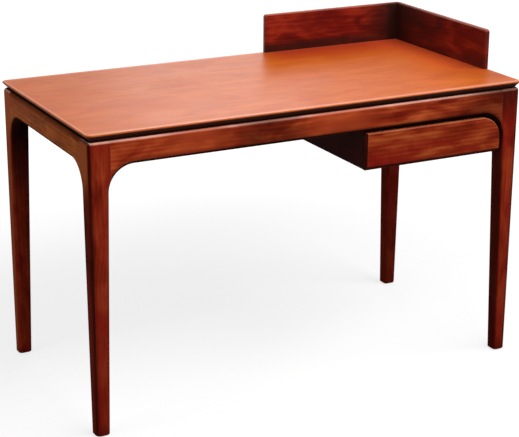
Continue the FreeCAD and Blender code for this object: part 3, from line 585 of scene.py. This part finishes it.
def wood(name, finish, grain, seed, layers_of):
    """A lacquered wood for one board."""
    material = bpy.data.materials.new(name)
    material.use_nodes = True
    tree = material.node_tree
    shader = tree.nodes["Principled BSDF"]
    start = Wire(tree.nodes.new("ShaderNodeTexCoord").outputs["Object"])
    depth, streak, patch, pore = grain_pattern(start, finish, grain, seed)

    colour = start.add("ValToRGB", {"stops": finish["stops"]}, {0: depth})
    colour = (patch * finish["patch_share"]).over(colour, finish["patch"])
    colour = (pore * finish["pore_share"]).over(colour, finish["pore"])
    # faces that look up get a pale painted highlight
    painted_highlight = facing(start)[2].smooth(0.15, 0.60) * (depth * 0.5 + 0.5) * finish["highlight_share"]
    # sharp edges: partly real rubbed wear, partly a painted highlight in the same pale colour
    rubbed_and_highlight = sharp_edges(start) * (noise(start, RUB_GRAIN) * 0.5 + finish["rubbed_and_highlight_share"])
    colour = strongest(rubbed_and_highlight, painted_highlight).over(colour, finish["wear_and_highlight"])
    dull = 0.0
    # the layers hold stains as well as painted shade, painted reflections and painted highlights
    for mask, stain in layers_of(start) if layers_of else []:
        mask = mask * finish["layer_share"]
        colour = mask.over(colour, stain)
        if stain == TONER_AND_SHADE:
            dull = mask * TONER_AND_SHADE_DULL + dull
    tree.links.new(colour.socket, shader.inputs["Base Color"])

    smudge = noise(start, SMUDGE, detail=3.0) - 0.5
    gloss = (streak - 0.5) * 0.14 + pore * 0.10 + smudge * 0.12 + finish["rough"] + dull
    tree.links.new(gloss.socket, shader.inputs["Roughness"])
    shader.inputs["IOR"].default_value = finish["ior"]
    shader.inputs["Specular Tint"].default_value = finish["glint"]

    relief = streak * 0.5 - pore * 0.9 + noise(start, PEEL, detail=1.0) * 0.25
    soft = start.add("Bevel", {"samples": 4}, {"Radius": SOFT_RADIUS})
    bump = start.add("Bump", None, {"Strength": RELIEF_STRENGTH, "Distance": RELIEF_DEPTH, "Height": relief,
                                    "Normal": soft})
    tree.links.new(bump.socket, shader.inputs["Normal"])
    return material


print("edges soften over", SOFT_RADIUS * 1000, "mm")

# %% [markdown]
# ## One finish for each kind of board
# The same wood looks different on each part of the table. The top is a bright orange brown and reflects the white
# room, since it is seen at a flat angle. Rails and legs are a red brown with orange patches and a pale painted
# highlight on the upper rim, the two rails of the short sides are browner, and the upstand is a deep red. The hung
# case is nearly black: painted shade, as it hangs in the shade under the top. The drawer box, the battens and the
# cross rail are plain pale wood under a thin dull lacquer.

# %% Finishes
WARM_GLINT = (1.0, 0.52, 0.30, 1.0)


def mix_finish(deep, body, glow, patch, patch_share, ring, rough, ior=1.38, glint=WARM_GLINT, pore=(30, 8, 5),
               pore_share=0.45, wear_and_highlight=(186, 106, 74), rubbed_and_highlight_share=0.1, highlight_share=0.0, layer_share=0.85, fine=0.1):
    """The tints and the gloss of one kind of board: three depths of stain, then patches, ring width and roughness."""
    return {
        "stops": [(0.0, tint(*deep)), (0.5, tint(*body)), (1.0, tint(*glow))],
        "patch": tint(*patch), "patch_share": patch_share, "ring": ring, "fine": fine,
        "rough": rough, "ior": ior, "glint": glint, "pore": tint(*pore), "pore_share": pore_share,
        "wear_and_highlight": tint(*wear_and_highlight), "rubbed_and_highlight_share": rubbed_and_highlight_share, "highlight_share": highlight_share, "layer_share": layer_share,
    }


FINISHES = {
    "top": mix_finish((198, 86, 20), (214, 103, 28), (224, 114, 38), (206, 88, 24), 0.5, 0.013, 0.38, ior=1.2,
                      glint=WHITE, pore=(140, 50, 16), pore_share=0.3, wear_and_highlight=(244, 188, 166), layer_share=0.97,
                      fine=0.2),
    "upstand": mix_finish((58, 10, 8), (112, 22, 16), (158, 48, 28), (90, 12, 10), 0.6, 0.012, 0.34, ior=1.3,
                          wear_and_highlight=(196, 110, 92), highlight_share=0.6, layer_share=0.97),
    "rail": mix_finish((98, 20, 10), (166, 57, 28), (208, 98, 50), (106, 18, 12), 0.7, 0.010, 0.30, ior=1.06,
                       wear_and_highlight=(242, 178, 158), rubbed_and_highlight_share=-0.15, highlight_share=1.05, layer_share=0.97),
    "side_rail": mix_finish((104, 42, 12), (152, 74, 25), (178, 96, 38), (128, 48, 16), 0.5, 0.010, 0.40, ior=1.04,
                            rubbed_and_highlight_share=-0.15, highlight_share=0.3, layer_share=0.97),
    "leg": mix_finish((94, 20, 10), (150, 47, 24), (182, 74, 42), (140, 25, 20), 0.6, 0.009, 0.38, ior=1.04,
                      wear_and_highlight=(242, 178, 158), rubbed_and_highlight_share=-0.15, highlight_share=1.05, layer_share=1.0),
    "front": mix_finish((92, 19, 10), (149, 49, 24), (194, 95, 46), (142, 25, 20), 0.6, 0.011, 0.30, ior=1.06,
                        rubbed_and_highlight_share=0.3, highlight_share=0.9),
    # nearly black: painted shade for the case in the shade under the top
    "case": mix_finish((32, 9, 7), (46, 13, 10), (60, 19, 13), (40, 10, 8), 0.5, 0.009, 0.50, ior=1.05,
                       wear_and_highlight=(50, 18, 12)),
    "plain": mix_finish((150, 104, 62), (178, 132, 86), (198, 156, 108), (168, 118, 74), 0.5, 0.008, 0.5, ior=1.4,
                        glint=WHITE, pore=(110, 70, 40), wear_and_highlight=(206, 170, 124), fine=0.55),
    "peg": mix_finish((150, 104, 62), (178, 132, 86), (198, 156, 108), (168, 118, 74), 0.5, 0.008, 0.6, ior=1.05,
                      pore=(110, 70, 40), wear_and_highlight=(178, 132, 86), layer_share=1.0, fine=0.55),
}
print("finishes:", sorted(FINISHES))

# %% [markdown]
# ## Dressing the boards
# Now each board of the frame gets its finish, the direction of its grain, and its layers of stain and painted light.
# Grain runs along a board, since wood is strong that way. The count of the board is also its place in the tree, so no
# two boards look alike and every run gives the same table.

# %% Boards
FIRST_TREE = 176.0
BOARDS = {
    # piece: (finish, direction of the grain, layers of stain and painted light)
    "tabletop": ("top", "X", top_painted_light),
    "gallery_back_panel": ("upstand", "X", corner_painted_shade(0, 0.17, 0.8)),
    "gallery_side_panel": ("upstand", "Y", corner_painted_shade(1, 0.38, 0.35)),
    "front_apron": ("rail", "X", front_rail_stain_and_shade),
    "rear_apron": ("rail", "X", rail_painted_shade(0)),
    "left_apron": ("side_rail", "Y", rail_painted_shade(1, groove_share=0.6)),
    "right_apron": ("side_rail", "Y", rail_painted_shade(1, groove_share=0.6)),
    "front_left_leg": ("leg", "Z", leg_stain_and_shade(LEFT, FRONT)),
    "rear_right_leg": ("leg", "Z", leg_stain_and_shade(RIGHT, REAR)),
    "rear_left_leg": ("leg", "Z", leg_stain_and_shade(LEFT, REAR)),
    "front_right_leg": ("leg", "Z", leg_stain_and_shade(RIGHT, FRONT)),
    "drawer_front": ("front", "X", drawer_stain_and_shade),
    "case_left_cheek": ("case", "Y", None), "case_right_cheek": ("case", "Y", None),
    "case_back_panel": ("case", "X", None),
    "case_left_cleat": ("plain", "Y", None), "case_right_cleat": ("plain", "Y", None),
    "centre_bearer": ("plain", "Y", None), "gallery_dowels": ("peg", "Z", peg_painted_shade),
    "drawer_inner_front": ("plain", "X", None), "drawer_back": ("plain", "X", None),
    "drawer_left_side": ("plain", "Y", None), "drawer_right_side": ("plain", "Y", None),
    "drawer_bottom": ("plain", "Y", None),
}


def dress(node, material):
    """Give a piece of the frame its material."""
    mesh = nodes[node].data
    mesh.materials.clear()
    mesh.materials.append(material)


for count, (node, (kind, grain, layers_of)) in enumerate(BOARDS.items()):
    dress(node, wood(f"{node}_wood", FINISHES[kind], grain, count + FIRST_TREE, layers_of))
print("boards dressed:", len(BOARDS))

# %% [markdown]
# ## Steel, nylon and rubber
# The slides and clips are zinc-plated steel: a bluish grey metal with a faint spangle and rolling marks along its
# length. Screws are a darker, smoother steel. Glides are dark brown nylon and the two dots behind the drawer front
# are soft pale rubber, both with a fine moulded grain. One function makes them all, because they differ only in
# tints, gloss and the scale of their pattern.

# %% Metal and plastic
MOULD_EDGE = 0.0004
MOULD_DEPTH = 0.0001
CLOUD = (40.0, 40.0, 40.0)


def plain_finish(name, colour, other, metal, rough, stretch, relief):
    """A metal or a plastic: two close tints in a fine pattern, with roughness and bump from the same pattern."""
    material = bpy.data.materials.new(name)
    material.use_nodes = True
    tree = material.node_tree
    shader = tree.nodes["Principled BSDF"]
    start = Wire(tree.nodes.new("ShaderNodeTexCoord").outputs["Object"])
    fine = noise(start, stretch, detail=3.0)
    cloud = noise(start, CLOUD)
    mixed = (fine * 0.6 + cloud * 0.4).smooth(0.3, 0.7).over(colour, other)
    tree.links.new(mixed.socket, shader.inputs["Base Color"])
    tree.links.new(((fine - 0.5) * 0.2 + (cloud - 0.5) * 0.2 + rough).socket, shader.inputs["Roughness"])
    shader.inputs["Metallic"].default_value = metal
    soft = start.add("Bevel", {"samples": 4}, {"Radius": MOULD_EDGE})
    bump = start.add("Bump", None, {"Strength": relief, "Distance": MOULD_DEPTH, "Height": fine, "Normal": soft})
    tree.links.new(bump.socket, shader.inputs["Normal"])
    return material


ZINC = plain_finish("zinc_steel", tint(150, 154, 160), tint(196, 199, 204), 1.0, 0.34, (900, 60, 900), 0.15)
SCREW = plain_finish("screw_steel", tint(120, 120, 124), tint(168, 166, 162), 1.0, 0.30, (500, 500, 500), 0.1)
NYLON = plain_finish("glide_nylon", tint(62, 56, 52), tint(76, 70, 65), 0.0, 0.50, (700, 700, 700), 0.2)
RUBBER = plain_finish("bumper_rubber", tint(222, 222, 218), tint(234, 234, 231), 0.0, 0.62, (800, 800, 800), 0.3)

for node in nodes:
    if node.startswith("slide_") or node == "tabletop_clips":
        dress(node, ZINC)
    elif node.endswith("_screws"):
        dress(node, SCREW)
dress("foot_glides", NYLON)
dress("drawer_bumpers", RUBBER)
print("left without a finish:", [n for n, piece in nodes.items() if not piece.data.materials])

# %% [markdown]
# ## Reading places from the frame
# Screws, glides and rubber dots come as groups: one mesh with several separate solids, each with only a few flat
# sides. They can be told apart by walking from point to point along the edges, on a copy whose doubled points are
# merged. The box of each solid then says where its finer version belongs, so no place is typed twice.

# %% Separate solids
MERGE = 1e-6


def box_of(points):
    """The lowest and the highest corner of some points."""
    return [Vector([pick(point.co[axis] for point in points) for axis in range(3)]) for pick in (min, max)]


def solids_of(node):
    """The boxes of the separate solids of a group."""
    shape = bmesh.new()
    shape.from_mesh(nodes[node].data)
    bmesh.ops.remove_doubles(shape, verts=shape.verts, dist=MERGE)
    waiting, boxes = set(shape.verts), []
    while waiting:
        reached = [waiting.pop()]
        for point in reached:
            near = {edge.other_vert(point) for edge in point.link_edges} & waiting
            waiting -= near
            reached.extend(near)
        boxes.append(box_of(reached))
    shape.free()
    return sorted(boxes, key=lambda box: tuple(box[0]))


print("clips:", len(solids_of("tabletop_clips")))

# %% [markdown]
# ## Screws with a cross recess
# A wood screw has a low domed head with a cross recess, a ridged shank and a point. The head starts as a grid of
# nine faces: its middle row and column are the cross, and its rim is pulled out to a circle. Pushing the cross down
# makes the recess. Drawing the rim out and down, ring by ring, makes the dome, the seat, the ridges and the point.

# %% One screw
HEAD_RADIUS, HEAD_HEIGHT = 0.0040, 0.0025
CROSS_REACH, CROSS_HALF, CROSS_DEPTH, CROSS_TAPER = 0.0021, 0.00045, 0.0013, 0.65
RIDGE, ROOT, RIDGE_STEP = 0.00182, 0.00135, 0.0008
POINT_LENGTH, POINT_RADIUS = 0.0030, 0.0002
HEAD_RINGS = [(0.0031, -0.0020), (0.0038, -0.0011), (HEAD_RADIUS, -0.0004), (HEAD_RADIUS, 0.0), (ROOT, 0.0)]
UPWARD = Vector((0, 0, 1))


def draw_ring(shape, rim, radius, height):
    """Extrude a closed rim and set the new one to a radius and a height."""
    drawn = bmesh.ops.extrude_edge_only(shape, edges=rim)["geom"]
    for point in (item for item in drawn if isinstance(item, bmesh.types.BMVert)):
        point.co = point.co.xy.normalized().to_3d() * radius + UPWARD * height
    return [item for item in drawn if isinstance(item, bmesh.types.BMEdge) and item.is_boundary]


def add_screw(shape, length):
    """One screw with its seat at the origin, driven along +Z. Returns its points."""
    before = set(shape.verts)
    grid = bmesh.ops.create_grid(shape, x_segments=3, y_segments=3, size=1.0)["verts"]
    faces = {face for point in grid for face in point.link_faces}
    for point in grid:
        flat = point.co.xy
        inner = max(abs(flat.x), abs(flat.y)) < 0.5
        flat = Vector([math.copysign(CROSS_HALF, v) for v in flat]) if inner else flat.normalized() * CROSS_REACH
        point.co = flat.to_3d() - UPWARD * HEAD_HEIGHT
    rim = [edge for face in faces for edge in face.edges if edge.is_boundary]
    cross = [face for face in faces if min(abs(v) for v in face.calc_center_median().xy) < CROSS_HALF * 0.5]
    sunk = bmesh.ops.extrude_face_region(shape, geom=cross)["geom"]
    bmesh.ops.delete(shape, geom=cross, context="FACES_ONLY")
    floor_points = [item for item in sunk if isinstance(item, bmesh.types.BMVert)]
    bmesh.ops.translate(shape, verts=floor_points, vec=UPWARD * CROSS_DEPTH)
    bmesh.ops.scale(shape, verts=floor_points, vec=(CROSS_TAPER, CROSS_TAPER, 1.0))
    rings = list(HEAD_RINGS)
    for step in range(int((length - POINT_LENGTH) / (2 * RIDGE_STEP))):
        rings += [(RIDGE, (2 * step + 1) * RIDGE_STEP), (ROOT, (2 * step + 2) * RIDGE_STEP)]
    for radius, height in rings + [(POINT_RADIUS, length)]:
        rim = draw_ring(shape, rim, radius, height)
    bmesh.ops.edgeloop_fill(shape, edges=rim)
    return [point for point in shape.verts if point not in before]


print("head:", HEAD_RADIUS * 2000, "mm across, ridges every", RIDGE_STEP * 2000, "mm")

# %% [markdown]
# ## Screws in their places
# The table has four groups of screws: those of the clips and the battens go up into the top, those at the sides of
# the battens go outwards into the case, and those of the drawer go forwards into its front. One screw is made for
# each solid of a group and turned the way it is driven. The new mesh then stands for the group of the frame, takes
# the same finish, and moves with the same body.

# %% Screw groups
def send(shape, points, aim, place):
    """Turn new points from +Z to an aim and put them in their place."""
    turn = UPWARD.rotation_difference(aim).to_matrix().to_4x4()
    bmesh.ops.transform(shape, verts=points, matrix=Matrix.Translation(place) @ turn)


def hand_over(piece, node, body):
    """Let a piece stand for a node of the frame and move with its body."""
    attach(piece, body)
    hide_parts(node)


def screw_set(node, body, aim_of):
    """A finer version of each screw in a group."""
    shape = bmesh.new()
    for low, high in solids_of(node):
        aim = aim_of((low + high) / 2)
        reach = (high - low).dot(Vector([abs(v) for v in aim]))
        seat = (low + high) / 2 - aim * (reach / 2 - HEAD_HEIGHT)
        send(shape, add_screw(shape, reach - HEAD_HEIGHT), aim, seat)
    bmesh.ops.recalc_face_normals(shape, faces=shape.faces)
    piece = mesh_piece(node.replace("_screws", "_cross_screws"), shape, SCREW, smooth_angle=35)
    hand_over(piece, node, body)
    return piece


drawer_middle = sum(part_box("drawer_front")[end][0] for end in (0, 1)) / 2
made = [
    screw_set("tabletop_clip_screws", "table", lambda place: UPWARD),
    screw_set("cleat_top_screws", "table", lambda place: UPWARD),
    screw_set("cleat_side_screws", "table", lambda place: Vector((math.copysign(1, place.x - drawer_middle), 0, 0))),
    screw_set("drawer_front_screws", "drawer", lambda place: Vector((0, -1, 0))),
]
print("screws:", {piece.name: len(piece.data.polygons) for piece in made})

# %% [markdown]
# ## Turned pieces: glides and rubber dots
# A nylon glide is a low disc with a rounded rim and a shallow hollow in its sole, and a rubber dot is a small dome.
# Both are round, so a half profile is spun about its axis, as on a lathe. The end points of the profile lie on the
# axis, and merging them closes the poles.

# %% Glides and dots
TURNED_STEPS = 32
# (radius, height) from one pole to the other
GLIDE_PROFILE = [(0.0, 0.0004), (0.0040, 0.0004), (0.0048, 0.0), (0.0092, 0.0), (0.0102, 0.0003), (0.0108, 0.0011),
                 (0.0108, 0.0049), (0.0, 0.0049)]
DOT_PROFILE = [(0.0, 0.0), (0.0040, 0.0), (0.0038, 0.0006), (0.0031, 0.0012), (0.0018, 0.0016), (0.0, 0.0017)]


def turn_profile(shape, profile):
    """Spin a half profile about Z. Returns the new points."""
    before = set(shape.verts)
    points = [shape.verts.new((radius, 0.0, height)) for radius, height in profile]
    edges = [shape.edges.new(pair) for pair in zip(points, points[1:])]
    bmesh.ops.spin(shape, geom=points + edges, cent=(0, 0, 0), axis=UPWARD, dvec=(0, 0, 0), angle=math.tau,
                   steps=TURNED_STEPS, use_merge=True)
    new = [point for point in shape.verts if point not in before]
    bmesh.ops.remove_doubles(shape, verts=new, dist=MERGE)
    return [point for point in shape.verts if point not in before]


def turned_set(name, node, body, profile, aim, material):
    """A turned piece for each solid of a group, standing on the side that the aim leaves."""
    shape = bmesh.new()
    for low, high in solids_of(node):
        middle = (low + high) / 2
        foot = Vector([m if not a else l for m, a, l in zip(middle, aim, low)])
        send(shape, turn_profile(shape, profile), aim, foot)
    bmesh.ops.recalc_face_normals(shape, faces=shape.faces)
    piece = mesh_piece(name, shape, material, smooth_angle=50)
    hand_over(piece, node, body)
    return piece


glides = turned_set("turned_glides", "foot_glides", "table", GLIDE_PROFILE, UPWARD, NYLON)
dots = turned_set("domed_dots", "drawer_bumpers", "drawer", DOT_PROFILE, Vector((0, 1, 0)), RUBBER)
print("faces:", len(glides.data.polygons), len(dots.data.polygons))

# %% [markdown]
# ## Fluted pegs
# The upstand stands on short fluted pegs, glued into it and into the top. The bevel under the edge of the top leaves
# little wood there, so the pegs come out in it: they are trimmed flush, and their ends get the same painted shade as
# the bevel. A peg is turned like the glides, every fourth row of its points is pulled towards the axis for a flute,
# and a cut along the plane of the bevel trims it. The cut is closed by a fan of faces about its middle, so that none
# of them is a sliver.

# %% Pegs
PEG_PROFILE = [(0.0, 0.0), (0.0031, 0.0), (0.0037, 0.0008), (0.0037, 0.0292), (0.0031, 0.0300), (0.0, 0.0300)]
FLUTE_ROWS = 4
FLUTE_SHARE = 0.92
TOP_BEVEL = 0.014


def add_peg(shape, low, high, top_low, top_high):
    """One peg in its place, trimmed by the bevel at the nearer edge of the top."""
    points = turn_profile(shape, PEG_PROFILE)
    for point in points:
        row = round(math.atan2(point.co.y, point.co.x) / math.tau * TURNED_STEPS)
        if row % FLUTE_ROWS == 0:
            point.co.xy *= FLUTE_SHARE
    foot = (low + high) / 2
    foot.z = low.z
    send(shape, points, UPWARD, foot)
    edge = min((0, 1), key=lambda axis: top_high[axis] - foot[axis])
    outward = Vector([float(axis == edge) for axis in range(3)])
    corner = outward * (top_high[edge] - TOP_BEVEL) + UPWARD * top_low.z
    peg = {item for point in points for item in (point, *point.link_edges, *point.link_faces)}
    cut = bmesh.ops.bisect_plane(shape, geom=list(peg), dist=MERGE, plane_co=corner, plane_no=outward - UPWARD,
                                 clear_outer=True)["geom_cut"]
    cap = bmesh.ops.edgeloop_fill(shape, edges=[item for item in cut if isinstance(item, bmesh.types.BMEdge)])
    bmesh.ops.poke(shape, faces=cap["faces"])


top_low, top_high = [Vector(corner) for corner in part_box("tabletop")]
peg_shape = bmesh.new()
for low, high in solids_of("gallery_dowels"):
    add_peg(peg_shape, low, high, top_low, top_high)
bmesh.ops.recalc_face_normals(peg_shape, faces=peg_shape.faces)
pegs = mesh_piece("fluted_pegs", peg_shape, nodes["gallery_dowels"].data.materials[0], smooth_angle=40)
hand_over(pegs, "gallery_dowels", "table")
print("pegs:", len(pegs.data.polygons), "faces")

# %% [markdown]
# ## Ball cages of the slides
# Between the channels of a telescopic slide runs a thin steel cage that keeps two rows of balls apart. The frame
# holds it as a thick channel. Here three edges are drawn out along the slide and given the thickness of sheet
# steel, and a ball of few faces sits in each pocket, since there are many of them.

# %% Ball cages
CAGE_STEEL = 0.0007
BALL_RADIUS, BALL_PITCH, BALL_PLAY = 0.0015, 0.012, 0.0001
ROW_COUNT = 15


def cage_strip(node, path, low, high):
    """Sheet steel bent along a path of (x, z) points, as long as the cage of the frame."""
    strip = bmesh.new()
    points = [strip.verts.new((x, low.y, z)) for x, z in path]
    edges = [strip.edges.new(pair) for pair in zip(points, points[1:])]
    drawn = bmesh.ops.extrude_edge_only(strip, edges=edges)["geom"]
    bmesh.ops.translate(strip, verts=[item for item in drawn if isinstance(item, bmesh.types.BMVert)],
                        vec=(0, high.y - low.y, 0))
    bmesh.ops.recalc_face_normals(strip, faces=strip.faces)
    bmesh.ops.solidify(strip, geom=strip.faces, thickness=CAGE_STEEL)
    bmesh.ops.recalc_face_normals(strip, faces=strip.faces)
    cage = mesh_piece(node + "_strip", strip, ZINC)
    hand_over(cage, node, node)
    return cage


def ball_cage(side, member):
    """The cage strip and its balls, in the place of one cage of the frame."""
    node = f"slide_{side}_{member}_cage"
    low, high = [Vector(corner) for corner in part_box(node)]
    web, lip = (low.x, high.x) if side == "left" else (high.x, low.x)
    inward = math.copysign(1, lip - web)
    rows = (low.z + BALL_RADIUS + BALL_PLAY, high.z - BALL_RADIUS - BALL_PLAY)
    bend = web + inward * CAGE_STEEL / 2
    cage = cage_strip(node, [(lip, rows[0]), (bend, rows[0]), (bend, rows[1]), (lip, rows[1])], low, high)

    balls = bmesh.new()
    for count in range(ROW_COUNT):
        y = (low.y + high.y) / 2 + (count - (ROW_COUNT - 1) / 2) * BALL_PITCH
        for z in rows:
            place = Matrix.Translation(((web + inward * CAGE_STEEL + lip) / 2, y, z))
            bmesh.ops.create_uvsphere(balls, u_segments=8, v_segments=6, radius=BALL_RADIUS, matrix=place)
    row = mesh_piece(node + "_balls", balls, SCREW, smooth_angle=80)
    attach(row, node)
    return cage, row


for side in ("left", "right"):
    for member in ("outer", "inner"):
        cage, row = ball_cage(side, member)
        print(cage.name, len(cage.data.polygons), row.name, len(row.data.polygons))
